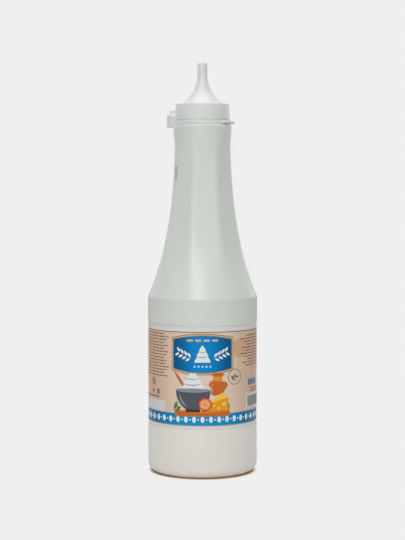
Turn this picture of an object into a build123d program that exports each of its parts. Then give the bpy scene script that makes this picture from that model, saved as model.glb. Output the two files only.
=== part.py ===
"""Squeeze bottle for sauce: a round blow-moulded bottle with a long eight-sided
neck, a printed wrap label, a screwed cap with a pointed spout, and a tether ring
whose strap carries the small cap of the spout.

Frame: the origin is the centre of the base, +Z is up and -Y is the front.
All sizes are millimetres.
"""

import os
from math import cos, pi, radians, sin

from build123d import *

# ---- bottle body -------------------------------------------------------------
body_radius = 34.5
shoulder_height = 110.8
base_corner_radius = 6.0
push_up_radius = 23.0
push_up_depth = 2.4
push_up_taper = 40

# ---- label and the panel it sits in --------------------------------------------
panel_bottom = 30.8
shoulder_band_height = 16.0
panel_depth = 0.35
label_thickness = 0.15
label_edge_gap = 0.4

# ---- neck: a round flare with eight flats that fade out at both ends ------------
waist_radius = 17.6
flare_length = 90.9
collar_spread_length = 12.3
collar_height = 4.6
collar_ledge = 3.0
collar_edge_radius = 1.2
shoulder_edge_radius = 4.0
flare_power = 2.5
taper_share = 0.2
neck_point_count = 7
flat_count = 8
front_flat_turn = 5.0
flat_sink_share = 0.055
flat_end_share = 0.012
flat_fade = 0.5
flat_point_count = 9

# ---- threaded mouth, hidden under the cap -------------------------------------
mouth_radius = 15.2
mouth_height = 11.0
mouth_clearance = 0.1

# ---- tether ring and strap -----------------------------------------------------
ring_wall = 2.1
ring_height = 2.9
ring_edge_radius = 0.6
strap_gap = 1.0
strap_width = 2.0
strap_thickness = 1.4
strap_edge_radius = 0.6
strap_rise = 0.8
strap_root_angle = -46
strap_start_angle = -12
strap_end_lead = 6

# ---- small cap of the spout, parked beside the collar --------------------------
tip_cap_wall = 1.65
tip_cap_draft = 0.2
tip_cap_height = 8.4
tip_cap_drop = 0.75
tip_cap_edge_radius = 1.7
tip_cap_angle = 139.3
tip_cap_clearance = 0.4
tip_knob_radius = 3.0
tip_knob_height = 2.4
tip_knob_edge_radius = 0.9
tip_bore_depth = 6.0
tip_bore_clearance = 0.25

# ---- screw cap with its spout --------------------------------------------------
skirt_wall = 1.9
skirt_draft = 0.4
skirt_height = 10.2
skirt_gap = 0.1
skirt_edge_radius = 0.8
cap_top_ledge = 3.4
cone_arc_height = 19.0
spout_radius = 3.1
spout_height = 6.5
spout_edge_radius = 0.5
spout_bore_radius = 1.8

# ---- places worked out from the sizes above --------------------------------------
panel_top = shoulder_height - shoulder_band_height
panel_radius = body_radius - panel_depth

waist_height = shoulder_height + flare_length
collar_start_height = waist_height + collar_spread_length
neck_top_height = collar_start_height + collar_height
mouth_top_height = neck_top_height + mouth_height
collar_radius = mouth_radius + collar_ledge

cap_bore_radius = mouth_radius + mouth_clearance
ring_outer_radius = cap_bore_radius + ring_wall
ring_top = neck_top_height + ring_height
strap_radius = ring_outer_radius + strap_gap + strap_width / 2
strap_foot_height = neck_top_height + strap_rise

skirt_foot_height = ring_top + skirt_gap
skirt_foot_radius = cap_bore_radius + skirt_wall
skirt_top_radius = skirt_foot_radius - skirt_draft
cap_top_height = skirt_foot_height + skirt_height
cone_foot_radius = skirt_top_radius - cap_top_ledge
spout_start_height = cap_top_height + cone_arc_height
tip_height = spout_start_height + spout_height

tip_bore_radius = spout_radius + tip_bore_clearance
tip_cap_radius = tip_bore_radius + tip_cap_wall
tip_cap_foot_radius = tip_cap_radius - tip_cap_draft
tip_cap_distance = collar_radius + tip_cap_clearance + tip_cap_radius
tip_cap_foot_height = neck_top_height - tip_cap_drop


def around(angle, distance):
    """Point at an angle round the bottle's axis and a distance from it."""
    return (distance * cos(radians(angle)), distance * sin(radians(angle)))


tip_cap_place = around(tip_cap_angle, tip_cap_distance)
strap_end_angle = tip_cap_angle - strap_end_lead
strap_root_place = around(strap_root_angle, (ring_outer_radius + cap_bore_radius) / 2)


def neck_radius(height):
    """Radius of the neck at a height: a straight taper plus a curved flare below
    the waist, and a gentle spread to the collar above it."""
    if height > waist_height:
        share = (height - waist_height) / (collar_start_height - waist_height)
        return waist_radius + (collar_radius - waist_radius) * share**2
    share = (waist_height - height) / (waist_height - shoulder_height)
    flare = taper_share * share + (1 - taper_share) * share**flare_power
    return waist_radius + (body_radius - waist_radius) * flare


def flat_distance(height):
    """Distance of the eight flats from the axis: outside the round neck at both
    ends, so that a flat fades out there, and inside it between them."""
    share = (height - shoulder_height) / (collar_start_height - shoulder_height)
    sink = flat_sink_share * abs(sin(pi * share)) ** flat_fade
    return neck_radius(height) * (1 + flat_end_share - sink)


def heights(start, end, count):
    """Evenly spaced heights from start to end."""
    return [start + (end - start) * step / (count - 1) for step in range(count)]


# ---- bottle ----------------------------------------------------------------------
with BuildPart() as bottle:
    with BuildSketch(Plane.XZ) as outline:
        with BuildLine():
            neck_heights = heights(shoulder_height, waist_height, neck_point_count) + [collar_start_height]
            neck = Spline(*[(neck_radius(height), height) for height in neck_heights])
            Polyline(
                neck @ 1,
                (collar_radius, neck_top_height),
                (mouth_radius, neck_top_height),
                (mouth_radius, mouth_top_height),
                (0, mouth_top_height),
                (0, 0),
                (body_radius, 0),
                neck @ 0,
            )
        make_face()
        outer_corners = outline.vertices().filter_by(lambda corner: corner.X > collar_radius - 0.01)
        base_corner = outer_corners.sort_by(Axis.Y)[0]
        fillet(base_corner, radius=base_corner_radius)
        outer_corners = outline.vertices().filter_by(lambda corner: corner.X > collar_radius - 0.01)
        fillet(outer_corners.sort_by(Axis.Y)[-1], radius=collar_edge_radius)
        shoulder_corner = outline.vertices().sort_by_distance((body_radius, shoulder_height))[0]
        fillet(shoulder_corner, radius=shoulder_edge_radius)
    revolve(axis=Axis.Z)

    for flat in range(flat_count):
        turn = radians(front_flat_turn - 90 + 360 * flat / flat_count)
        flat_plane = Plane(origin=(0, 0, 0), x_dir=(cos(turn), sin(turn), 0), z_dir=(sin(turn), -cos(turn), 0))
        with BuildSketch(flat_plane):
            with BuildLine():
                flat_heights = heights(shoulder_height, collar_start_height, flat_point_count)
                flat_line = Spline(*[(flat_distance(height), height) for height in flat_heights])
                Polyline(
                    flat_line @ 1,
                    (2 * body_radius, collar_start_height),
                    (2 * body_radius, shoulder_height),
                    flat_line @ 0,
                )
            make_face()
        extrude(amount=body_radius, both=True, mode=Mode.SUBTRACT)

    with BuildSketch(Plane.XY):
        Circle(push_up_radius)
    extrude(amount=push_up_depth, taper=push_up_taper, mode=Mode.SUBTRACT)

    with BuildSketch(Plane.XY.offset(panel_bottom)):
        Circle(body_radius + panel_depth)
        Circle(panel_radius, mode=Mode.SUBTRACT)
    extrude(amount=panel_top - panel_bottom, mode=Mode.SUBTRACT)

# ---- label -----------------------------------------------------------------------
with BuildPart() as label:
    with BuildSketch(Plane.XY.offset(panel_bottom + label_edge_gap)):
        Circle(panel_radius + label_thickness)
        Circle(panel_radius, mode=Mode.SUBTRACT)
    extrude(amount=panel_top - panel_bottom - 2 * label_edge_gap)

# ---- screw cap with its spout -------------------------------------------------------
with BuildPart() as nozzle_cap:
    with BuildSketch(Plane.XZ) as cap_profile:
        with BuildLine():
            skirt = Polyline(
                (spout_bore_radius, mouth_top_height),
                (cap_bore_radius, mouth_top_height),
                (cap_bore_radius, skirt_foot_height),
                (skirt_foot_radius, skirt_foot_height),
                (skirt_top_radius, cap_top_height),
                (cone_foot_radius, cap_top_height),
            )
            spout = Line((spout_radius, spout_start_height), (spout_radius, tip_height))
            TangentArc(spout @ 0, skirt @ 1, tangent=(0, -1))
            Polyline(spout @ 1, (spout_bore_radius, tip_height), skirt @ 0)
        make_face()
        corners = cap_profile.vertices().filter_by_position(Axis.Y, cap_top_height - 0.01, tip_height)
        fillet(corners.sort_by(Axis.X)[-1], radius=skirt_edge_radius)
        tip_corners = cap_profile.vertices().group_by(Axis.Y)[-1]
        fillet(tip_corners.sort_by(Axis.X)[-1], radius=spout_edge_radius)
    revolve(axis=Axis.Z)

# ---- tether: ring, strap and the small cap of the spout, one moulding ---------------
with BuildPart() as tether_cap:
    with BuildSketch(Plane.XY.offset(strap_foot_height)):
        with BuildLine() as strap_path:
            run = CenterArc((0, 0), strap_radius, strap_start_angle, strap_end_angle - strap_start_angle)
            TangentArc(run @ 0, strap_root_place, tangent=-(run % 0))
        trace(line_width=strap_width)
    extrude(amount=strap_thickness)
    strap_rims = tether_cap.edges().filter_by(Axis.Z, reverse=True)
    fillet(strap_rims, radius=strap_edge_radius)

    with BuildSketch(Plane.XY.offset(neck_top_height)):
        Circle(ring_outer_radius)
        Circle(cap_bore_radius, mode=Mode.SUBTRACT)
    extrude(amount=ring_height)
    ring_top_edges = tether_cap.edges().group_by(Axis.Z)[-1]
    fillet(ring_top_edges.sort_by(SortBy.RADIUS)[-1], radius=ring_edge_radius)

    with BuildSketch(Plane.XZ.offset(-tip_cap_place[1])) as tip_cap_profile:
        with BuildLine():
            foot = (tip_cap_place[0], tip_cap_foot_height)
            shoulder = tip_cap_foot_height + tip_cap_height
            Polyline(
                foot,
                (foot[0] + tip_cap_foot_radius, tip_cap_foot_height),
                (foot[0] + tip_cap_radius, shoulder),
                (foot[0] + tip_knob_radius, shoulder),
                (foot[0] + tip_knob_radius, shoulder + tip_knob_height),
                (foot[0], shoulder + tip_knob_height),
                close=True,
            )
        make_face()
        shoulder_corner = tip_cap_profile.vertices().sort_by(Axis.X)[-1]
        fillet(shoulder_corner, radius=tip_cap_edge_radius)
        knob_corner = tip_cap_profile.vertices().group_by(Axis.Y)[-1].sort_by(Axis.X)[-1]
        fillet(knob_corner, radius=tip_knob_edge_radius)
    tip_cap_axis = Axis((tip_cap_place[0], tip_cap_place[1], 0), (0, 0, 1))
    revolve(axis=tip_cap_axis)

    with BuildSketch(Plane.XY.offset(tip_cap_foot_height)):
        with Locations(tip_cap_place):
            Circle(tip_bore_radius)
    extrude(amount=tip_bore_depth, mode=Mode.SUBTRACT)

# ---- files -------------------------------------------------------------------------
os.makedirs("parts", exist_ok=True)

bottle.part.label = "bottle"
export_step(bottle.part, "parts/bottle.step")

label.part.label = "label"
export_step(label.part, "parts/label.step")

nozzle_cap.part.label = "nozzle_cap"
export_step(nozzle_cap.part, "parts/nozzle_cap.step")

tether_cap.part.label = "tether_cap"
export_step(tether_cap.part, "parts/tether_cap.step")

for piece in (bottle, label, nozzle_cap, tether_cap):
    print(piece.part.label, round(piece.part.volume), "cubic mm, height", round(tip_height, 2))
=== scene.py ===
# %% [markdown]
# # A squeeze bottle of sauce
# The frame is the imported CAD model: a bottle, its label, a screw cap with a spout, and a
# tether ring with the small cap of the spout. This file gives each piece its finish and
# prints the label. Nothing in the frame moves. The frame is in metres, and the sizes below are
# written in millimetres.

# %% Load the frame
from math import atan, cos, pi, radians, sin, tan

import bpy
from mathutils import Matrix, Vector


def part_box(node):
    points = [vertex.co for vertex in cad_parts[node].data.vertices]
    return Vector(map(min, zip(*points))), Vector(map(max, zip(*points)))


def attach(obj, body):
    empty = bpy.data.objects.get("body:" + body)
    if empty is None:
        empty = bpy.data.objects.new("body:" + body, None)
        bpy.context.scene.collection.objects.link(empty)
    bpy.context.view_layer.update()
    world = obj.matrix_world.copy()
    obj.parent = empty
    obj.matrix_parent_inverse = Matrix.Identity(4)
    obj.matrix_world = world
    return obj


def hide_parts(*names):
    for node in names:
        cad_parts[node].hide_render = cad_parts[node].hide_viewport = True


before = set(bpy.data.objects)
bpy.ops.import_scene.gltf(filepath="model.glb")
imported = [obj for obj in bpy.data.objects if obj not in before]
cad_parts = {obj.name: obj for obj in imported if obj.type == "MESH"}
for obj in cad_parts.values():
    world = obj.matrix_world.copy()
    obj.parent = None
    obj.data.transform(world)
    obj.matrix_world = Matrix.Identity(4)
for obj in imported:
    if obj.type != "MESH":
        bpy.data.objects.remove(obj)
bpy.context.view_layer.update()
bpy.ops.object.select_all(action="DESELECT")

# %% [markdown]
# Three helpers serve every piece. An operator acts on all that is selected, so the first one
# selects a piece alone. A finished piece sits at the origin with its place in its mesh, so the
# second one applies modifiers and the object's own place. The third one merges a copy of a
# frame node, because the frame's meshes are loose triangles that cannot be shaded smoothly,
# and shades it smooth except at real corners.

# %% Helpers for pieces
MM = 0.001
merge_distance = 0.002 * MM


def pick(piece):
    """Make a piece the only selected and active object."""
    bpy.ops.object.select_all(action="DESELECT")
    piece.select_set(True)
    bpy.context.view_layer.objects.active = piece


def finish_mesh(piece):
    """Apply a piece's modifiers and put its place into its mesh."""
    pick(piece)
    for modifier in list(piece.modifiers):
        bpy.ops.object.modifier_apply(modifier=modifier.name)
    bpy.ops.object.transform_apply(location=True, rotation=True, scale=True)


def smooth_copy(node, name, corner_angle):
    """Copy a frame node, merge its triangles and shade it smooth up to an angle."""
    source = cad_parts[node]
    piece = bpy.data.objects.new(name, source.data.copy())
    bpy.context.scene.collection.objects.link(piece)
    pick(piece)
    bpy.ops.object.mode_set(mode="EDIT")
    bpy.ops.mesh.select_all(action="SELECT")
    bpy.ops.mesh.remove_doubles(threshold=merge_distance)
    bpy.ops.object.mode_set(mode="OBJECT")
    bpy.ops.object.shade_smooth_by_angle(angle=radians(corner_angle))
    piece.data.materials.clear()
    print(name, len(piece.data.polygons), "faces")
    return piece


# %% [markdown]
# Every plastic on the bottle is moulded, and moulded plastic is never one flat colour: its
# tone drifts slowly, its gloss is a little uneven and its skin has a fine grain. That is one
# node group with named inputs, used by each material with its own values.

# %% The moulded surface group
def new_socket(group, name, direction, kind, default=None):
    """Add a socket to a node group and set what it holds when nothing is linked."""
    socket = group.interface.new_socket(name=name, in_out=direction, socket_type=kind)
    if default is not None:
        socket.default_value = default


def make_surface_group():
    """Tone, roughness and height that change a little over a moulded surface."""
    group = bpy.data.node_groups.new("moulded_surface", "ShaderNodeTree")
    new_socket(group, "Tone", "INPUT", "NodeSocketColor", (0.8, 0.8, 0.8, 1))
    new_socket(group, "Shade", "INPUT", "NodeSocketFloat", 0.95)
    new_socket(group, "Drift Scale", "INPUT", "NodeSocketFloat", 20.0)
    new_socket(group, "Grain Scale", "INPUT", "NodeSocketFloat", 1500.0)
    new_socket(group, "Roughness", "INPUT", "NodeSocketFloat", 0.4)
    new_socket(group, "Roughness Spread", "INPUT", "NodeSocketFloat", 0.1)
    new_socket(group, "Color", "OUTPUT", "NodeSocketColor")
    new_socket(group, "Roughness", "OUTPUT", "NodeSocketFloat")
    new_socket(group, "Height", "OUTPUT", "NodeSocketFloat")
    nodes, links = group.nodes, group.links
    given = nodes.new("NodeGroupInput")
    result = nodes.new("NodeGroupOutput")
    place = nodes.new("ShaderNodeTexCoord")

    drift = nodes.new("ShaderNodeTexNoise")
    drift.inputs["Detail"].default_value = 3
    links.new(place.outputs["Object"], drift.inputs["Vector"])
    links.new(given.outputs["Drift Scale"], drift.inputs["Scale"])

    grain = nodes.new("ShaderNodeTexNoise")
    grain.inputs["Detail"].default_value = 4
    links.new(place.outputs["Object"], grain.inputs["Vector"])
    links.new(given.outputs["Grain Scale"], grain.inputs["Scale"])

    darker = nodes.new("ShaderNodeVectorMath")
    darker.operation = "SCALE"
    links.new(given.outputs["Tone"], darker.inputs[0])
    links.new(given.outputs["Shade"], darker.inputs["Scale"])
    tone = nodes.new("ShaderNodeMix")
    tone.data_type = "RGBA"
    links.new(drift.outputs["Fac"], tone.inputs["Factor"])
    links.new(given.outputs["Tone"], tone.inputs[6])
    links.new(darker.outputs[0], tone.inputs[7])
    links.new(tone.outputs[2], result.inputs["Color"])

    spread = nodes.new("ShaderNodeMath")
    spread.operation = "MULTIPLY_ADD"
    links.new(drift.outputs["Fac"], spread.inputs[0])
    links.new(given.outputs["Roughness Spread"], spread.inputs[1])
    links.new(given.outputs["Roughness"], spread.inputs[2])
    links.new(spread.outputs[0], result.inputs["Roughness"])
    links.new(grain.outputs["Fac"], result.inputs["Height"])
    return group


surface_group = make_surface_group()
print("group", surface_group.name, len(surface_group.nodes), "nodes")

# %% [markdown]
# A material places the group, feeds its three results to the shader and sets whatever is the
# same all over on the shader's own sockets. Colours could be given as the shader's linear
# values, but those are hard to read, so they are written as they look, 0 to 255, and turned
# into linear ones.

# %% Making a material
def linear(red, green, blue):
    """Turn a colour as it looks, 0 to 255, into linear values with alpha."""
    values = []
    for value in (red, green, blue):
        share = value / 255
        values.append(share / 12.92 if share <= 0.04045 else ((share + 0.055) / 1.055) ** 2.4)
    return (*values, 1.0)


dark_share = 0.95
roughness_spread = 0.08
relief_depth = 0.1


def moulded(name, tone, roughness, bump, drift=25.0, grain=1800.0, coat=0.0):
    """A moulded plastic or printed film with drift, grain and a soft gloss."""
    material = bpy.data.materials.new(name)
    material.use_nodes = True
    nodes, links = material.node_tree.nodes, material.node_tree.links
    shader = nodes["Principled BSDF"]
    surface = nodes.new("ShaderNodeGroup")
    surface.name = "surface"
    surface.node_tree = surface_group
    surface.inputs["Tone"].default_value = linear(*tone)
    surface.inputs["Shade"].default_value = dark_share
    surface.inputs["Drift Scale"].default_value = drift
    surface.inputs["Grain Scale"].default_value = grain
    surface.inputs["Roughness"].default_value = roughness
    surface.inputs["Roughness Spread"].default_value = roughness_spread
    relief = nodes.new("ShaderNodeBump")
    relief.inputs["Strength"].default_value = bump
    relief.inputs["Distance"].default_value = relief_depth * MM
    links.new(surface.outputs["Color"], shader.inputs["Base Color"])
    links.new(surface.outputs["Roughness"], shader.inputs["Roughness"])
    links.new(surface.outputs["Height"], relief.inputs["Height"])
    links.new(relief.outputs["Normal"], shader.inputs["Normal"])
    shader.inputs["Coat Weight"].default_value = coat
    return material


# %% [markdown]
# The bottle's plastic runs from a lighter, warmer cream on the full body to a cooler, greener
# white on the neck. That is partly the plastic's own tint and partly painted light: the lighter,
# warmer body stands for light bounced up from the floor. The print darkens towards the sides,
# which is painted shade where the round film turns away from the light. Both could be two
# pieces each, with a hard edge between them, but on the bottle they are one effect, a tone
# that runs from one colour to another along a direction, so it is a second group.

# %% The running tone group, for painted light and shade
def make_run_group():
    """A tone that runs from one colour to another along a direction, used for painted light and shade.
    """
    group = bpy.data.node_groups.new("running_tone_and_painted_light", "ShaderNodeTree")
    new_socket(group, "Direction", "INPUT", "NodeSocketVector", (0, 0, 1))
    new_socket(group, "Start", "INPUT", "NodeSocketFloat", 0.0)
    new_socket(group, "End", "INPUT", "NodeSocketFloat", 1.0)
    new_socket(group, "Start Tone", "INPUT", "NodeSocketColor", (0.8, 0.8, 0.8, 1))
    new_socket(group, "End Tone", "INPUT", "NodeSocketColor", (0.6, 0.6, 0.6, 1))
    new_socket(group, "Tone", "OUTPUT", "NodeSocketColor")
    nodes, links = group.nodes, group.links
    given = nodes.new("NodeGroupInput")
    result = nodes.new("NodeGroupOutput")
    place = nodes.new("ShaderNodeTexCoord")
    along = nodes.new("ShaderNodeVectorMath")
    along.operation = "DOT_PRODUCT"
    links.new(place.outputs["Object"], along.inputs[0])
    links.new(given.outputs["Direction"], along.inputs[1])
    far = nodes.new("ShaderNodeMath")
    far.operation = "ABSOLUTE"
    links.new(along.outputs["Value"], far.inputs[0])
    share = nodes.new("ShaderNodeMapRange")
    share.interpolation_type = "SMOOTHSTEP"
    links.new(far.outputs[0], share.inputs["Value"])
    links.new(given.outputs["Start"], share.inputs["From Min"])
    links.new(given.outputs["End"], share.inputs["From Max"])
    tone = nodes.new("ShaderNodeMix")
    tone.data_type = "RGBA"
    links.new(share.outputs["Result"], tone.inputs["Factor"])
    links.new(given.outputs["Start Tone"], tone.inputs[6])
    links.new(given.outputs["End Tone"], tone.inputs[7])
    links.new(tone.outputs[2], result.inputs["Tone"])
    return group


run_group = make_run_group()
print("group", run_group.name, len(run_group.nodes), "nodes")


def run_tone_and_painted_light(material, direction, start, end, end_tone):
    """Let a material's own tone run to another along a direction, between two distances, as painted
    light or shade.
    """
    nodes, links = material.node_tree.nodes, material.node_tree.links
    own_tone = nodes["surface"].inputs["Tone"]
    run = nodes.new("ShaderNodeGroup")
    run.node_tree = run_group
    run.inputs["Direction"].default_value = direction
    run.inputs["Start"].default_value = start * MM
    run.inputs["End"].default_value = end * MM
    run.inputs["Start Tone"].default_value = own_tone.default_value
    run.inputs["End Tone"].default_value = linear(*end_tone)
    links.new(run.outputs["Tone"], own_tone)


# %% [markdown]
# Three plastics make the object: the satin bottle with a faint clear coat, the whiter caps, and
# the film of the label, whose bare edge shows above and below the print. One plain material
# could serve all three, but they catch the light differently, so each has its own values.

# %% Plastics
upwards = (0, 0, 1)
bottle_plastic = moulded("bottle_plastic", (229, 226, 219), 0.34, 0.12, coat=0.1)
# Partly painted light: the lighter, warmer tone low on the body stands for light bounced up from the
# floor; the greener neck is the plastic's tint.
run_tone_and_painted_light(bottle_plastic, upwards, 35, 105, (211, 216, 210))
cap_plastic = moulded("cap_plastic", (216, 219, 217), 0.30, 0.08, grain=2500)
label_film = moulded("label_film", (220, 217, 215), 0.30, 0.05, grain=900)
print("plastics", bottle_plastic.name, cap_plastic.name, label_film.name)

# %% [markdown]
# The blown bottle is round at its foot and its collar, and has eight soft sides in between.
# A lathe tool could turn the round parts but not the sides. So one ring is drawn first: an
# octagon whose corners are rounded by a bevel and whose sides are cut into short edges. It
# stands in the middle of the neck, and the bottle grows from it, upwards and then downwards,
# by extruding and scaling. Where the sides fade out, each new ring is pushed a step further
# towards a circle, which is what the To Sphere tool does to a flat ring.

# %% Sizes of the bottle
body_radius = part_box("bottle")[1].x / MM
mouth_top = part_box("bottle")[1].z / MM
shoulder_height = 110.8
shoulder_edge_radius = 4.0
base_corner_radius = 6.0
push_up_depth = 2.4
push_up_radius = 23.0
push_up_top_radius = 21.0
panel_bottom = 30.8
panel_top = 94.8
panel_radius = 34.15
waist_height = 201.7
waist_radius = 17.6
collar_start = 214.0
collar_top = 218.6
collar_radius = 18.2
collar_edge_radius = 1.2
mouth_radius = 15.2
taper_share = 0.2
flare_power = 2.5
side_count = 8
side_turn = 5.0
side_cuts = 9
corner_segments = 4
corner_round = 0.24
sides_full_low = 152.0
sides_full_high = 198.0
print("body radius", body_radius, "mouth at", mouth_top)


def neck_radius(height):
    """Half-width of the neck at a height: a taper and a curved flare, then the collar."""
    if height > waist_height:
        share = (height - waist_height) / (collar_start - waist_height)
        return waist_radius + (collar_radius - waist_radius) * share**2
    share = (waist_height - height) / (waist_height - shoulder_height)
    return waist_radius + (body_radius - waist_radius) * (
        taper_share * share + (1 - taper_share) * share**flare_power
    )


def smooth_step(share):
    """Ease a share in and out between 0 and 1."""
    share = min(max(share, 0), 1)
    return share * share * (3 - 2 * share)


def round_share(height):
    """How round a ring is: 0 with eight full sides, 1 where it is a circle."""
    low = (sides_full_low - height) / (sides_full_low - shoulder_height)
    high = (height - sides_full_high) / (collar_start - sides_full_high)
    return smooth_step(max(low, high))


def arc_rings(centre_radius, centre_height, radius, start, end, steps):
    """Heights and radii along a rounded edge, from one angle to another."""
    rings = []
    for step in range(steps + 1):
        angle = radians(start + (end - start) * step / steps)
        rings.append((centre_height + radius * sin(angle), centre_radius + radius * cos(angle)))
    return rings


# %% [markdown]
# The rings are listed from the middle of the neck outwards. A rounded edge, such as the one
# where the flare meets the body, could be bevelled afterwards, but a bevel would also cut the
# sides of the neck. So it is an arc of a few rings from the start.

# %% Rings of the bottle
start_height = 175.0
ring_step = 3.5
collar_edge_steps = 5
shoulder_edge_steps = 3
base_corner_steps = 8
edge_above_shoulder = 1.6
edge_start_share = 0.75


def neck_heights(start, end):
    """Even heights between two, without the first."""
    count = round(abs(end - start) / ring_step)
    return [start + (end - start) * step / count for step in range(1, count + 1)]


rings_up = [(height, neck_radius(height)) for height in neck_heights(start_height, collar_start)]
rings_up += arc_rings(collar_radius - collar_edge_radius, collar_top - collar_edge_radius,
                      collar_edge_radius, 0, 90, collar_edge_steps)
rings_up += [(collar_top, mouth_radius), (mouth_top, mouth_radius), (mouth_top, mouth_radius / 2)]

edge_height = shoulder_height + edge_above_shoulder
slope = neck_radius(edge_height) - neck_radius(edge_height + 1)
lean = atan(slope) * 180 / pi
edge_reach = shoulder_edge_radius * tan(radians(lean / 2))
rings_down = [(height, neck_radius(height)) for height in neck_heights(start_height, edge_height)]
rings_down += arc_rings(body_radius - shoulder_edge_radius, shoulder_height - edge_reach,
                        shoulder_edge_radius, lean * edge_start_share, 0, shoulder_edge_steps)
rings_down += [
    (panel_top, body_radius),
    (panel_top, panel_radius),
    (panel_bottom, panel_radius),
    (panel_bottom, body_radius),
    (panel_bottom / 2, body_radius),
]
rings_down += arc_rings(body_radius - base_corner_radius, base_corner_radius,
                        base_corner_radius, 0, -90, base_corner_steps)
rings_down += [
    (0, push_up_radius),
    (push_up_depth, push_up_top_radius),
    (push_up_depth, push_up_top_radius / 2),
]
print(len(rings_up), "rings up and", len(rings_down), "rings down")

# %% [markdown]
# The first ring is an octagon with soft corners. It could be a circle that is flattened eight
# times, but an octagon has true flats, and its corners are bevelled as at a bench. A ring with
# eight sides is wider at its corners than across its sides, so its size is given by its
# half-width as seen from the front. A round ring's size is its radius. The first ring is
# measured both ways.

# %% The first ring
ring_unit = 20.0
same_height = 0.01
bottle_angle = radians(40)
half_side = ring_unit * tan(pi / side_count)
bpy.ops.mesh.primitive_circle_add(
    vertices=side_count,
    radius=ring_unit / cos(pi / side_count) * MM,
    location=(0, 0, start_height * MM),
    rotation=(0, 0, radians(180 / side_count + side_turn)),
)
bottle = bpy.context.view_layer.objects.active
bottle.name = "bottle_shell"
finish_mesh(bottle)
bpy.ops.object.mode_set(mode="EDIT")
bpy.ops.mesh.select_all(action="SELECT")
bpy.ops.mesh.bevel(
    offset=corner_round * half_side * MM, offset_type="OFFSET", segments=corner_segments,
    affect="VERTICES", profile=0.5,
)
bpy.ops.mesh.select_mode(type="EDGE")
bpy.ops.mesh.select_all(action="DESELECT")
bpy.ops.object.mode_set(mode="OBJECT")
for edge in bottle.data.edges:
    first, second = [bottle.data.vertices[index].co for index in edge.vertices]
    edge.select = (first - second).length > half_side * MM
bpy.ops.object.mode_set(mode="EDIT")
bpy.ops.mesh.subdivide(number_cuts=side_cuts)
bpy.ops.object.mode_set(mode="OBJECT")
distances = [vertex.co.to_2d().length / MM for vertex in bottle.data.vertices]
mean_unit = sum(distances) / len(distances)
width_unit = max(vertex.co.x for vertex in bottle.data.vertices) / MM
print("ring of", len(distances), "points, mean radius", mean_unit, "half-width", width_unit)

# %% [markdown]
# The bottle grows from the ring. Its skin could be bridged between many circles, but extruding
# one ring keeps the same points all the way, so the sides run straight and the skin has no
# seam. Every new ring is scaled by the mix of both measures that its roundness asks for.

# %% Growing the bottle

def ring_scale(height, radius):
    """Scale from the first ring to a ring at a height."""
    share = round_share(height)
    return radius / (mean_unit * share + width_unit * (1 - share))


def select_start_ring():
    """Select the first ring again and nothing else."""
    bpy.ops.object.mode_set(mode="OBJECT")
    for vertex in bottle.data.vertices:
        vertex.select = abs(vertex.co.z / MM - start_height) < same_height
    for edge in bottle.data.edges:
        edge.select = all(bottle.data.vertices[index].select for index in edge.vertices)
    for face in bottle.data.polygons:
        face.select = False
    bpy.ops.object.mode_set(mode="EDIT")


def grow(rings, scale_now):
    """Extrude the selected ring through a list of heights and radii and close the end."""
    height_now = start_height
    share_now = round_share(start_height)
    for height, radius in rings:
        rise = (0, 0, (height - height_now) * MM)
        bpy.ops.mesh.extrude_edges_move(TRANSFORM_OT_translate={"value": rise})
        factor = ring_scale(height, radius) / scale_now
        centre = (0, 0, height * MM)
        bpy.ops.transform.resize(value=(factor, factor, 1), center_override=centre)
        share = max(round_share(height), share_now)
        if share > share_now:
            push = (share - share_now) / (1 - share_now)
            bpy.ops.transform.tosphere(value=push, center_override=centre)
        height_now, share_now, scale_now = height, share, ring_scale(height, radius)
    bpy.ops.mesh.edge_face_add()


bpy.ops.object.mode_set(mode="EDIT")
bpy.ops.mesh.select_all(action="SELECT")
first_scale = ring_scale(start_height, neck_radius(start_height))
first_centre = (0, 0, start_height * MM)
bpy.ops.transform.resize(value=(first_scale, first_scale, 1), center_override=first_centre)
grow(rings_up, first_scale)
select_start_ring()
grow(rings_down, first_scale)
bpy.ops.mesh.select_all(action="SELECT")
bpy.ops.mesh.normals_make_consistent(inside=False)
bpy.ops.object.mode_set(mode="OBJECT")
bpy.ops.object.shade_smooth_by_angle(angle=bottle_angle)
bottle.data.materials.append(bottle_plastic)
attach(bottle, "root")
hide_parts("bottle")
print("bottle", len(bottle.data.polygons), "faces")

# %% [markdown]
# A blown bottle is pinched off at its foot, which leaves a thin weld across the hollow of its
# base. It could be a line in the bump, but it is a ridge that can be felt. So it is a small bar
# with bevelled edges, sunk a little into the bottle.

# %% Weld under the base
weld_length = 34
weld_width = 0.9
weld_sink = 0.1
weld_edge = 0.25
bpy.ops.mesh.primitive_cube_add(
    size=1,
    location=(0, 0, (push_up_depth - weld_sink) * MM),
    scale=(weld_length * MM, weld_width * MM, weld_width * MM),
)
weld = bpy.context.view_layer.objects.active
weld.name = "base_weld"
edges = weld.modifiers.new("edges", "BEVEL")
edges.width = weld_edge * MM
edges.segments = 2
finish_mesh(weld)
bpy.ops.object.shade_smooth_by_angle(angle=bottle_angle)
weld.data.materials.append(bottle_plastic)
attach(weld, "root")
print("weld", len(weld.data.polygons), "faces")

# %% [markdown]
# The screw cap with its spout, the tether with the small cap, and the film are moulded or cut
# to plain shapes. They could be modelled again, but the frame already has them exactly. So
# each is a copy of the frame's own shape, merged, smoothed and given its finish.

# %% Caps and film
part_angle = 30
for node, name, material, slot in (
    ("nozzle_cap", "spout_cap", cap_plastic, "cap_plastic"),
    ("tether_cap", "tether_and_tip_cap", cap_plastic, "cap_plastic"),
    ("label", "label_sleeve", label_film, "label_film"),
):
    piece = smooth_copy(node, name, part_angle)
    piece.data.materials.append(material)
    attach(piece, "root")
    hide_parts(node)

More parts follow.
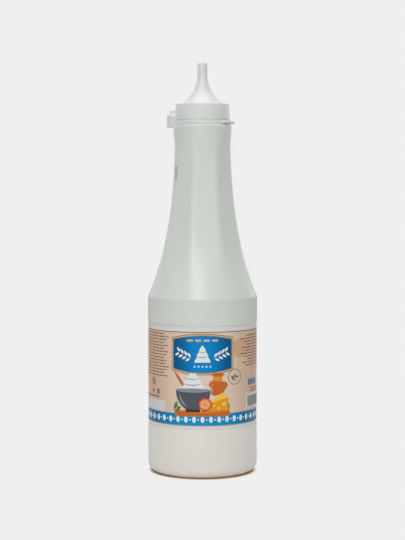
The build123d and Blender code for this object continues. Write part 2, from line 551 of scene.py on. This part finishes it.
# %% [markdown]
# The print could be a picture on the film, but a shape of its own stays sharp from near by and
# can be moved by a number. So it is laid out flat: x runs along the film from the middle of
# the front, and y is the height above the table. Each ink shape is a filled flat curve, made a
# mesh, cut into upright strips so that it can bend, wrapped round the film and given a
# thickness of a few hundredths of a millimetre. Later layers lie on earlier ones.

# %% Print helpers
film_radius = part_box("label")[1].x
layer_step = 0.02 * MM
ink_sink = 0.01 * MM
strip_width = 1.5
point_merge = 0.001
band_sides = 192
print_angle = radians(30)
print("film radius", film_radius)


def rectangle(left, right, bottom, top, corner=0.0, corner_points=6):
    """Outline of a rectangle with rounded corners."""
    if corner == 0:
        return [(left, bottom), (right, bottom), (right, top), (left, top)]
    points = []
    for x, y, start in (
        (right - corner, top - corner, 0),
        (left + corner, top - corner, 90),
        (left + corner, bottom + corner, 180),
        (right - corner, bottom + corner, 270),
    ):
        for step in range(corner_points + 1):
            angle = radians(start + 90 * step / corner_points)
            points.append((x + corner * cos(angle), y + corner * sin(angle)))
    return points


def ellipse(x, y, half_width, half_height=None, start=0.0, sweep=360.0, points=32):
    """Outline of an ellipse, or of the part of it that a sweep covers."""
    half_height = half_width if half_height is None else half_height
    count = points if sweep >= 360 else points + 1
    steps = [radians(start + sweep * step / points) for step in range(count)]
    return [(x + half_width * cos(angle), y + half_height * sin(angle)) for angle in steps]


def finish_ink(piece, material, layer):
    """Give a skin of ink its thickness down to the film, and its finish."""
    thickness = piece.modifiers.new("thickness", "SOLIDIFY")
    thickness.thickness = layer * layer_step + ink_sink
    thickness.offset = -1
    finish_mesh(piece)
    bpy.ops.object.shade_smooth_by_angle(angle=print_angle)
    piece.data.materials.append(material)
    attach(piece, "root")
    print(piece.name, len(piece.data.polygons), "faces")


def ink_piece(name, outlines, material, layer):
    """Fill flat outlines, wrap them round the film and give them a thickness."""
    curve = bpy.data.curves.new(name, "CURVE")
    curve.dimensions = "2D"
    curve.fill_mode = "BOTH"
    for outline in outlines:
        spline = curve.splines.new("POLY")
        spline.points.add(len(outline) - 1)
        for point, (x, y) in zip(spline.points, outline):
            point.co = (x, y, 0, 1)
        spline.use_cyclic_u = True
    piece = bpy.data.objects.new(name, curve)
    bpy.context.scene.collection.objects.link(piece)
    pick(piece)
    bpy.ops.object.convert(target="MESH")
    piece = bpy.context.view_layer.objects.active
    piece.name = name
    bpy.ops.object.mode_set(mode="EDIT")
    bpy.ops.mesh.select_all(action="SELECT")
    bpy.ops.mesh.remove_doubles(threshold=point_merge)
    left = min(x for outline in outlines for x, y in outline)
    right = max(x for outline in outlines for x, y in outline)
    cut = left + strip_width
    while cut < right:
        bpy.ops.mesh.select_all(action="SELECT")
        bpy.ops.mesh.bisect(plane_co=(cut, 0, 0), plane_no=(1, 0, 0))
        cut += strip_width
    bpy.ops.object.mode_set(mode="OBJECT")
    radius = film_radius + layer * layer_step
    for vertex in piece.data.vertices:
        angle = vertex.co.x * MM / film_radius
        vertex.co = (radius * sin(angle), -radius * cos(angle), vertex.co.y * MM)
    finish_ink(piece, material, layer)


def ink_band(name, bottom, top, material, layer):
    """A band of ink all round the film."""
    bpy.ops.mesh.primitive_cylinder_add(
        vertices=band_sides,
        radius=film_radius + layer * layer_step,
        depth=(top - bottom) * MM,
        end_fill_type="NOTHING",
        location=(0, 0, (top + bottom) / 2 * MM),
    )
    piece = bpy.context.view_layer.objects.active
    piece.name = name
    finish_ink(piece, material, layer)


# %% [markdown]
# Ink is a skin of colour, a little smoother than the bare film. It could be a plain colour, but
# it is a print on plastic, so it takes the same group with values of its own. Printed ink
# shines less than bare plastic when it is seen face on, so its specular level is low. It still
# shines at the sides of the bottle, where the light grazes it. The tan ground, the blue band
# and the plaque darken towards the sides, which is painted shade where the round film turns
# away from the light.

# %% Inks
ink_specular = 0.12


def ink(name, tone):
    """A printed colour on the film."""
    material = moulded("ink_" + name, tone, 0.26, 0.05, drift=60.0, grain=900)
    shader = material.node_tree.nodes["Principled BSDF"]
    shader.inputs["Specular IOR Level"].default_value = ink_specular
    return material


# Painted shade: the tan, blue and plaque inks below darken towards the bottle's sides, where the round
# film turns from the light.
sideways = (1, 0, 0)
tan_ink = ink("tan", (223, 205, 189))
run_tone_and_painted_light(tan_ink, sideways, 10, 33, (213, 178, 150))
blot_ink = ink("blot", (208, 168, 138))
blue_ink = ink("blue", (4, 146, 194))
run_tone_and_painted_light(blue_ink, sideways, 12, 32, (0, 112, 158))
plaque_ink = ink("plaque", (0, 134, 200))
run_tone_and_painted_light(plaque_ink, sideways, 3, 17, (2, 88, 138))
gold_ink = ink("gold", (214, 184, 138))
bronze_ink = ink("bronze", (142, 106, 76))
cream_ink = ink("cream", (240, 232, 214))
white_ink = ink("white", (226, 232, 236))
paper_ink = ink("paper", (214, 212, 211))
brown_ink = ink("brown", (112, 86, 72))
dark_ink = ink("dark", (62, 54, 52))
slate_ink = ink("slate", (84, 88, 96))
pale_slate_ink = ink("pale_slate", (140, 144, 152))
clay_ink = ink("clay", (198, 104, 46))
yellow_ink = ink("yellow", (243, 196, 72))
honey_ink = ink("honey", (226, 152, 40))
salmon_ink = ink("salmon", (236, 142, 112))
red_ink = ink("red", (196, 56, 46))
green_ink = ink("green", (84, 122, 72))
print(len(bpy.data.materials), "materials")

# %% [markdown]
# The pictures are flat drawings, made of a few kinds of outline. They could be traced point by
# point, but a function for each kind is shorter and can be used again. A stroke thickens a
# line and tapers it to both ends, a bow is a shallow arc to lay a stroke on, a leaf is two
# shallow arcs, a swirl is piped cream seen from the side, a blot is an ellipse with an uneven
# edge, and an arched outline is the plaque's.

# %% More outlines
def stroke(points, width):
    """Outline of a line that is widest in the middle and runs out at both ends."""
    upper, lower = [], []
    last = len(points) - 1
    for index, (x, y) in enumerate(points):
        ahead = points[min(index + 1, last)]
        behind = points[max(index - 1, 0)]
        run_x, run_y = ahead[0] - behind[0], ahead[1] - behind[1]
        length = (run_x**2 + run_y**2) ** 0.5
        half = width / 2 * (0.15 + 0.85 * sin(pi * index / last))
        upper.append((x - run_y / length * half, y + run_x / length * half))
        lower.append((x + run_y / length * half, y - run_x / length * half))
    return upper + lower[::-1]


def bow(left, right, height, sag, points=9):
    """Points on a shallow arc from left to right, for a stroke."""
    steps = [step / (points - 1) for step in range(points)]
    return [(left + (right - left) * step, height - sag * sin(pi * step)) for step in steps]


def leaf(x, y, length, width, turn, points=8):
    """Outline of a leaf that grows from a point in a direction."""
    outline = []
    for step in range(2 * points):
        share = step / points
        along = length * (share if share <= 1 else 2 - share)
        across = width / 2 * sin(pi * share)
        outline.append((
            x + along * cos(radians(turn)) - across * sin(radians(turn)),
            y + along * sin(radians(turn)) + across * cos(radians(turn)),
        ))
    return outline


def swirl(x, y, half_width, height, lobes=3, points=30):
    """Outline of a piped swirl of cream, standing at a point."""
    right = []
    for step in range(points):
        share = step / points
        half = half_width * (1 - share) ** 0.75 * (0.84 + 0.16 * abs(sin(pi * lobes * share + 0.5)))
        right.append((x + half, y + height * share))
    left = [(2 * x - point_x, point_y) for point_x, point_y in right]
    return right + [(x, y + height)] + left[::-1]


def blot(x, y, half_width, half_height, points=36):
    """Outline of an ellipse with an uneven edge."""
    outline = []
    for step in range(points):
        angle = 2 * pi * step / points
        reach = 1 + 0.12 * sin(3 * angle + 1) + 0.08 * sin(5 * angle)
        across, along = half_width * reach * cos(angle), half_height * reach * sin(angle)
        outline.append((x + across, y + along))
    return outline


def arched(half_width, low, high, rise, points=12):
    """Outline of a plaque whose top and bottom edges are arched."""
    top = [(half_width - 2 * half_width * step / points, high + rise * sin(pi * step / points))
           for step in range(points + 1)]
    bottom = [(-x, low + high - y) for x, y in top]
    return top + bottom


print("outlines: stroke, bow, leaf, swirl, blot, arched")

# %% [markdown]
# The large fields come first: the tan ground, the thin line above it, the blue foot with a
# plain border of ovals and dots, and a faded blot behind the small print at either side. A
# field that goes all round could be a wrapped rectangle, but that would leave a seam, so it is
# a short open cylinder with a thickness.

# %% Fields of the label
tan_bottom = 40.8
ink_band("field_tan", tan_bottom, 90.6, tan_ink, 1)
ink_band("line_top", 90.7, 91.2, brown_ink, 1)
ink_band("band_blue", 33.6, tan_bottom, blue_ink, 1)
ink_band("line_foot", 33.2, 33.5, bronze_ink, 1)
oval_pitch = 5.2
oval_count = 41
oval_height = 37.2
ovals = []
for step in range(oval_count):
    x = oval_pitch * (step - (oval_count - 1) / 2)
    ovals.append(ellipse(x, oval_height, 1.2, 1.9, points=16))
    ovals.append(ellipse(x + oval_pitch / 2, oval_height, 0.5, points=10))
ink_piece("band_border", ovals, white_ink, 2)
ink_piece("blot_right", [blot(26.5, 80.6, 7.8, 5.6)], blot_ink, 2)
ink_piece("blot_left", [blot(-50.0, 66.0, 6.0, 7.5)], blot_ink, 2)

# %% [markdown]
# A blue plaque with a gold rim fills the top of the front. It carries a swirl of cream between
# two sprigs, and says nothing. Its rim could be rings of ink side by side, but four outlines
# laid one on the other, each a little smaller, leave no gap between them.

# %% Plaque
for name, half_width, low, high, rise, material, layer in (
    ("plaque_line", 20.0, 67.2, 87.6, 2.6, bronze_ink, 2),
    ("plaque_rim", 19.6, 67.6, 87.2, 2.55, gold_ink, 3),
    ("plaque_inner", 18.9, 68.2, 86.6, 2.5, bronze_ink, 4),
    ("plaque_face", 18.6, 68.5, 86.3, 2.45, plaque_ink, 5),
):
    ink_piece(name, [arched(half_width, low, high, rise)], material, layer)
ink_piece("plaque_swirl", [swirl(0, 72.4, 5.2, 10.6)], white_ink, 6)
folds = [stroke(bow(-4.1, 3.6, 76.4, 0.9), 0.5), stroke(bow(-2.9, 2.4, 79.2, 0.7), 0.45)]
ink_piece("plaque_folds", folds, pale_slate_ink, 7)
sprigs = []
for side in (-1, 1):
    for step in range(4):
        x = side * (7.2 + 2.3 * step)
        y = 75.2 + 1.1 * step
        turn = 90 - side * 55
        sprigs.append(leaf(x, y + 0.3, 3.6, 1.5, turn + side * 20))
        sprigs.append(leaf(x + side * 0.4, y - 0.3, 3.4, 1.4, turn - side * 62))
ink_piece("plaque_sprigs", sprigs, white_ink, 6)
dots = [ellipse(2.4 * step, 69.9, 0.55, points=12) for step in (-2, -1, 0, 1, 2)]
ink_piece("plaque_dots", dots, white_ink, 6)
bars = [rectangle(step * 2.6 - 1.9, step * 2.6 + 1.9, 85.3, 86.5, 0.5) for step in (-3, -1, 1, 3)]
ink_piece("plaque_bars", bars, gold_ink, 6)

# %% [markdown]
# Below the plaque stands a small still life: a slate bowl of piped cream on a board, a clay pot,
# a wedge of cheese with holes and a slice of tomato. It could be shaded like a painting, but
# printed pictures of this kind are flat colours with a shine drawn in. So every thing is one
# shape and a few lighter strokes, and what stands in front is on a later layer.

# %% Still life
ink_piece("board", [rectangle(-18.0, 17.5, 39.2, 42.8, 1.4)], clay_ink, 3)
ink_piece("board_shine", [stroke(bow(-16.0, 15.5, 41.9, 0.1), 0.5)], honey_ink, 4)
spoon = [(-10.0, 55.0), (-13.0, 59.5), (-15.8, 63.6), (-18.4, 67.2)]
ink_piece("spoon", [stroke(spoon, 2.0)], clay_ink, 2)
ink_piece("bowl_swirl", [swirl(-6.0, 54.6, 8.6, 12.6)], white_ink, 3)
folds = [stroke(bow(-13.0, 0.2, 59.6, 1.2), 0.6), stroke(bow(-11.0, -1.8, 63.0, 1.0), 0.5)]
ink_piece("bowl_folds", folds, pale_slate_ink, 4)
ink_piece("bowl", [ellipse(-6.0, 55.2, 11.0, 12.6, 180, 180)], slate_ink, 4)
ink_piece("bowl_foot", [rectangle(-10.5, -1.5, 41.8, 43.6, 0.5)], dark_ink, 5)
ink_piece("bowl_rim", [ellipse(-6.0, 55.2, 11.3, 1.3)], pale_slate_ink, 5)
shine = [(-14.6, 53.0), (-13.6, 49.6), (-11.8, 46.8), (-9.4, 44.8)]
ink_piece("bowl_shine", [stroke(shine, 1.3)], pale_slate_ink, 5)
ink_piece("pot", [blot(9.6, 57.2, 5.6, 5.0)], clay_ink, 3)
ink_piece("pot_neck", [rectangle(6.6, 12.6, 61.0, 64.6, 0.6)], honey_ink, 4)
ink_piece("pot_lid", [ellipse(9.6, 64.8, 4.0, 1.3)], clay_ink, 5)
shine = [(6.2, 60.0), (5.4, 57.6), (5.9, 55.2), (7.2, 53.6)]
ink_piece("pot_shine", [stroke(shine, 1.0)], salmon_ink, 5)
ink_piece("cheese_top", [[(2.6, 46.6), (16.6, 50.4), (12.0, 53.6)]], yellow_ink, 5)
ink_piece("cheese_side", [[(2.6, 42.4), (16.6, 42.4), (16.6, 50.6), (2.6, 46.8)]], honey_ink, 6)
holes = [ellipse(13.6, 46.6, 1.5, 1.3)]
holes += [ellipse(x, y, size) for x, y, size in ((10.0, 44.2, 0.9), (7.4, 45.8, 0.7), (15.4, 43.9, 0.6))]
ink_piece("cheese_holes", holes, yellow_ink, 7)
tomato_x, tomato_y = 1.6, 46.6
ink_piece("tomato_skin", [ellipse(tomato_x, tomato_y, 4.1)], red_ink, 7)
ink_piece("tomato_flesh", [ellipse(tomato_x, tomato_y, 3.4)], salmon_ink, 8)
seed_reach = 1.9
seeds = []
for step in range(5):
    angle = 2 * pi * step / 5
    seeds.append(ellipse(tomato_x + seed_reach * cos(angle), tomato_y + seed_reach * sin(angle), 0.7))
ink_piece("tomato_seeds", seeds, yellow_ink, 9)
leaves = [leaf(-18.0, 42.0, 6.5, 2.6, 75), leaf(-18.0, 42.0, 5.5, 2.4, 35)]
leaves.append(leaf(16.8, 42.6, 5.5, 2.2, 100))
ink_piece("herb", leaves, green_ink, 4)

# %% [markdown]
# Small print could be letters, but this label says nothing, so it is rows of short marks of
# uneven length. One function lays out a column of it, ragged at one side. The lengths come
# from remainders instead of random numbers, so they are the same each run.

# %% Small print
mark_gap = 0.6
shortest_mark = 0.8
mark_start = 1.3
mark_growth = 0.8


def word_rows(left, right, top, rows, pitch=1.86, height=0.62, ragged=5.0, flush_left=True):
    """Rows of short marks between two edges, uneven at one side."""
    outlines = []
    for row in range(rows):
        short = ragged * ((row * 7 + 3) % 5) / 5
        start = left if flush_left else left + short
        end = right - short if flush_left else right
        y = top - pitch * row
        x = start
        step = 0
        while x < end - shortest_mark:
            length = min(mark_start + mark_growth * ((row * 3 + step * 5) % 4), end - x)
            outlines.append(rectangle(x, x + length, y - height, y))
            x += length + mark_gap
            step += 1
    return outlines


ink_piece("print_left", word_rows(-55.0, -22.3, 89.6, 15), brown_ink, 3)
ink_piece("print_right", word_rows(25.8, 55.0, 88.2, 11, flush_left=False, ragged=8.0), brown_ink, 3)
ink_piece("print_left_foot", word_rows(-55.0, -28.0, 50.2, 1, height=0.8), dark_ink, 3)
ink_piece("print_right_foot", word_rows(36.0, 55.0, 55.0, 2), brown_ink, 3)

# %% [markdown]
# Between the columns stand a round green badge, an emblem, two small signs, and the white fields
# for a date and for a bar code, which has bars of uneven width and no number. A ring could be a
# bent strip, but a filled curve turns every second outline inside it into a hole, so a ring is
# simply one circle inside another.

# %% Badge, signs and fields
badge_ring = [ellipse(21.3, 63.0, size, points=48) for size in (4.9, 4.5)]
ink_piece("badge_ring", badge_ring, green_ink, 3)
badge_leaves = [leaf(21.3, 60.4, 4.6, 1.9, turn) for turn in (52, 90, 128)]
ink_piece("badge_leaves", badge_leaves, green_ink, 3)
ink_piece("emblem_ground", [blot(-37.0, 58.8, 2.5, 3.4)], blot_ink, 3)
emblem = [ellipse(-37.0, 58.8, size) for size in (2.0, 1.3, 0.6)]
ink_piece("emblem", emblem, brown_ink, 4)
sign_ring = [ellipse(-31.8, 53.0, size) for size in (1.6, 1.0, 0.45)]
ink_piece("sign_ring", sign_ring, dark_ink, 3)
ink_piece("sign_leaf", [leaf(-37.6, 51.2, 3.6, 1.5, 85)], dark_ink, 3)
ink_piece("date_field", [rectangle(-47.0, -25.5, 41.2, 47.8, 0.4)], paper_ink, 3)
blue_marks = [rectangle(33.2 + 3.0 * step, 35.4 + 3.0 * step, 56.6, 60.6, 0.8) for step in range(4)]
ink_piece("blue_marks", blue_marks, blue_ink, 3)
ink_piece("code_field", [rectangle(31.0, 56.0, 42.0, 51.6, 0.4)], paper_ink, 3)
bars = []
x = 32.6
for step in range(40):
    width = 0.24 + 0.16 * (step * 5 % 3)
    bars.append(rectangle(x, x + width, 43.4, 50.0))
    x += width + 0.24 + 0.1 * (step * 3 % 2)
ink_piece("code_bars", bars, slate_ink, 4)

# %% [markdown]
# The back carries what such a label usually has: a table, a round picture, more small print,
# and the edge of the film where it overlaps itself. It could be left plain, but a bottle is
# seen from behind too, and the helpers for the front already do all that it needs.

# %% Back of the label
half_way = pi * film_radius / MM
half_edge = 0.2
ink_piece("film_edge", [rectangle(half_way - half_edge, half_way + half_edge, 31.4, 94.0)], paper_ink, 6)
ink_piece("table_head", [rectangle(64.0, 100.0, 83.6, 88.0, 1.2)], blue_ink, 3)
ink_piece("table_ground", [rectangle(64.0, 100.0, 60.0, 82.8, 0.6)], cream_ink, 2)
row_pitch = 3.1
row_count = 7
lines = []
for step in range(row_count + 1):
    lines.append(rectangle(64.6, 99.4, 60.6 + row_pitch * step, 60.9 + row_pitch * step))
ink_piece("table_lines", lines, bronze_ink, 3)
words = word_rows(66.0, 84.0, 81.9, row_count, pitch=row_pitch, height=0.9)
ink_piece("table_words", words, brown_ink, 3)
values = []
for step in range(row_count):
    left = 91.0 + (step * 3 % 4)
    values.append(rectangle(left, 97.6, 62.4 + row_pitch * step, 63.3 + row_pitch * step))
ink_piece("table_values", values, brown_ink, 3)
ink_piece("print_back", word_rows(64.0, 102.0, 57.6, 7), brown_ink, 3)
ink_piece("roundel_rim", [ellipse(-84.0, 76.0, 12.4, points=60)], gold_ink, 2)
ink_piece("roundel", [ellipse(-84.0, 76.0, 11.6, points=60)], blue_ink, 3)
ink_piece("roundel_swirl", [swirl(-84.0, 69.6, 7.0, 13.6)], white_ink, 4)
folds = [stroke(bow(-89.4, -79.2, 74.4, 1.1), 0.6), stroke(bow(-87.8, -80.8, 78.2, 0.9), 0.5)]
ink_piece("roundel_folds", folds, pale_slate_ink, 5)
ink_piece("print_back_left", word_rows(-104.0, -64.0, 60.4, 9), brown_ink, 3)

# %% [markdown]
# Two rows of small dark marks run up the left of the neck, where a filling line sprays its
# date. The neck is not round there, so they cannot be wrapped like the print. Instead one flat
# mark is repeated by two arrays, stood at the neck, drawn onto its surface by a shrinkwrap and
# given a thickness.

# %% Date marks on the neck
mark_length = 1.2
mark_width = 0.5
mark_lift = 0.03
mark_thickness = 0.05
marks_turn = radians(-63)
marks_reach = 20
marks_height = 184.4
bpy.ops.mesh.primitive_plane_add(size=1)
marks = bpy.context.view_layer.objects.active
marks.name = "neck_marks"
marks.scale = (mark_length * MM, mark_width * MM, 1)
pick(marks)
bpy.ops.object.transform_apply(location=False, rotation=False, scale=True)
for count, offset in ((8, (0, 1.15 * MM, 0)), (2, (1.7 * MM, 0, 0))):
    rows = marks.modifiers.new("rows", "ARRAY")
    rows.count = count
    rows.use_relative_offset = False
    rows.use_constant_offset = True
    rows.constant_offset_displace = offset
marks.rotation_euler = (radians(90), 0, marks_turn)
marks.location = (
    marks_reach * MM * sin(marks_turn), -marks_reach * MM * cos(marks_turn), marks_height * MM,
)
finish_mesh(marks)
hug = marks.modifiers.new("hug", "SHRINKWRAP")
hug.target = bottle
hug.wrap_method = "NEAREST_SURFACEPOINT"
hug.offset = mark_lift * MM
thickness = marks.modifiers.new("thickness", "SOLIDIFY")
thickness.thickness = mark_thickness * MM
thickness.offset = 0
finish_mesh(marks)
marks.data.materials.append(slate_ink)
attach(marks, "root")
print("neck marks", len(marks.data.polygons), "faces")

# %% [markdown]
# The bottle stands in a plain pale studio. Its ground could be a curved sheet of paper, but
# lamps would shade it. So the floor is real paper only close round the foot, where a warm brown
# contact shadow is painted into its colour beneath the real shadow, and further out the camera
# sees the same even tone as in the background. All other rays see paper everywhere.

# %% Floor
ground_tone = linear(239, 239, 239)
# Painted shadow: the warm brown that the paper has close round the foot.
painted_shadow_tone = (0.80, 0.60, 0.36, 1)
paper_tone = (0.87, 0.865, 0.86, 1)
contact_end = 0.0315
paper_start = 0.0358

bpy.ops.mesh.primitive_plane_add(size=6, location=(0, 0, 0))
floor = bpy.context.view_layer.objects.active
floor.name = "floor"
floor_material = bpy.data.materials.new("floor_paper")
floor_material.use_nodes = True
nodes, links = floor_material.node_tree.nodes, floor_material.node_tree.links
paper = nodes["Principled BSDF"]
paper.inputs["Roughness"].default_value = 0.6
glow = nodes.new("ShaderNodeEmission")
glow.inputs["Color"].default_value = ground_tone
place = nodes.new("ShaderNodeTexCoord")
reach = nodes.new("ShaderNodeVectorMath")
reach.operation = "LENGTH"
fade = nodes.new("ShaderNodeMapRange")
fade.interpolation_type = "SMOOTHSTEP"
fade.inputs["From Min"].default_value = contact_end
fade.inputs["From Max"].default_value = paper_start
seen = nodes.new("ShaderNodeLightPath")
both = nodes.new("ShaderNodeMath")
both.operation = "MULTIPLY"
blend = nodes.new("ShaderNodeMixShader")
# This mix paints the warm brown contact shadow into the paper's colour near the foot.
shadow_paint = nodes.new("ShaderNodeMix")
shadow_paint.data_type = "RGBA"
shadow_paint.inputs[6].default_value = painted_shadow_tone
shadow_paint.inputs[7].default_value = paper_tone
links.new(place.outputs["Object"], reach.inputs[0])
links.new(reach.outputs["Value"], fade.inputs["Value"])
links.new(fade.outputs["Result"], shadow_paint.inputs["Factor"])
links.new(shadow_paint.outputs[2], paper.inputs["Base Color"])
links.new(fade.outputs["Result"], both.inputs[0])
links.new(seen.outputs["Is Camera Ray"], both.inputs[1])
links.new(both.outputs[0], blend.inputs[0])
links.new(paper.outputs[0], blend.inputs[1])
links.new(glow.outputs[0], blend.inputs[2])
links.new(blend.outputs[0], nodes["Material Output"].inputs["Surface"])
floor.data.materials.append(floor_material)
print("floor fades from", contact_end, "to", paper_start)

# %% [markdown]
# The world lights the bottle evenly and weakly from all round. It could be one tone for
# everything, but a glossy bottle in a studio mirrors a dark room in front and the pale ground
# behind. So the camera sees the ground's tone, and a mirrored ray sees the weak world in front
# and runs to the ground's tone towards the back.

# %% World
world_strength = 0.28
mirror_start = -0.1
mirror_end = 0.9

world = bpy.data.worlds.new("studio")
bpy.context.scene.world = world
world.use_nodes = True
nodes, links = world.node_tree.nodes, world.node_tree.links
ambient = nodes["Background"]
ambient.inputs["Color"].default_value = (1, 1, 1, 1)
ambient.inputs["Strength"].default_value = world_strength
ground = nodes.new("ShaderNodeBackground")
ground.inputs["Color"].default_value = ground_tone
seen = nodes.new("ShaderNodeLightPath")
straight_view = nodes.new("ShaderNodeMath")
straight_view.operation = "MAXIMUM"
open_view = nodes.new("ShaderNodeMath")
open_view.operation = "MAXIMUM"
choose = nodes.new("ShaderNodeMixShader")
links.new(seen.outputs["Is Camera Ray"], straight_view.inputs[0])
links.new(seen.outputs["Is Transmission Ray"], straight_view.inputs[1])
links.new(straight_view.outputs[0], open_view.inputs[0])
direction = nodes.new("ShaderNodeTexCoord")
parts = nodes.new("ShaderNodeSeparateXYZ")
behind = nodes.new("ShaderNodeMapRange")
behind.interpolation_type = "SMOOTHSTEP"
behind.inputs["From Min"].default_value = mirror_start
behind.inputs["From Max"].default_value = mirror_end
mirrored = nodes.new("ShaderNodeMath")
mirrored.operation = "MULTIPLY"
links.new(direction.outputs["Generated"], parts.inputs[0])
links.new(parts.outputs["Y"], behind.inputs["Value"])
links.new(behind.outputs["Result"], mirrored.inputs[0])
links.new(seen.outputs["Is Glossy Ray"], mirrored.inputs[1])
links.new(mirrored.outputs[0], open_view.inputs[1])
links.new(open_view.outputs[0], choose.inputs[0])
links.new(ambient.outputs[0], choose.inputs[1])
links.new(ground.outputs[0], choose.inputs[2])
links.new(choose.outputs[0], nodes["World Output"].inputs["Surface"])
print("world strength", world_strength)

# %% [markdown]
# A product is lit by soft boxes. The world alone could light the bottle, but then all its sides
# would be alike. So one large lamp hangs above, a second one stands in front and a little to
# the left, a weak one lifts the label, and two faint ones draw the edges from behind.

# %% Lamps
def soft_lamp(name, place, aim, size, power):
    """A square area lamp at a place, pointed at another."""
    lamp = bpy.data.lights.new(name, "AREA")
    lamp.size = size
    lamp.energy = power
    holder = bpy.data.objects.new(name, lamp)
    bpy.context.scene.collection.objects.link(holder)
    holder.location = place
    direction = Vector(aim) - Vector(place)
    holder.rotation_euler = direction.to_track_quat("-Z", "Y").to_euler()
    print(name, power, "W")


middle = (0, 0, 0.13)
lamps = {
    "lamp_top": ((0.0, -0.1, 1.2), 1.0, 8.2),
    "lamp_front": ((-0.18, -1.3, 0.9), 0.6, 7.3),
    "lamp_low": ((-0.18, -1.4, 0.2), 0.6, 0.9),
    "lamp_back_left": ((-0.7, 0.7, 0.5), 0.5, 0.4),
    "lamp_back_right": ((0.7, 0.7, 0.5), 0.5, 0.8),
}
for name, (place, size, power) in lamps.items():
    soft_lamp(name, place, middle, size, power)

# %% [markdown]
# The camera stands a little above the middle of the bottle and looks slightly down, as from
# across a table. It could stand nearer with a short lens, but that would swell the label. A
# long lens from almost a metre keeps the bottle's sides upright.

# %% Camera
camera_lens = 94.7
camera_pitch = 3.12
camera_data = bpy.data.cameras.new("camera")
camera_data.sensor_width = 36
camera_data.lens = camera_lens
camera = bpy.data.objects.new("camera", camera_data)
bpy.context.scene.collection.objects.link(camera)
camera.location = (0, -0.898, 0.1762)
camera.rotation_euler = (radians(90 - camera_pitch), 0, 0)
bpy.context.scene.camera = camera
bpy.context.scene.view_settings.view_transform = "Standard"
print("camera at", tuple(camera.location))
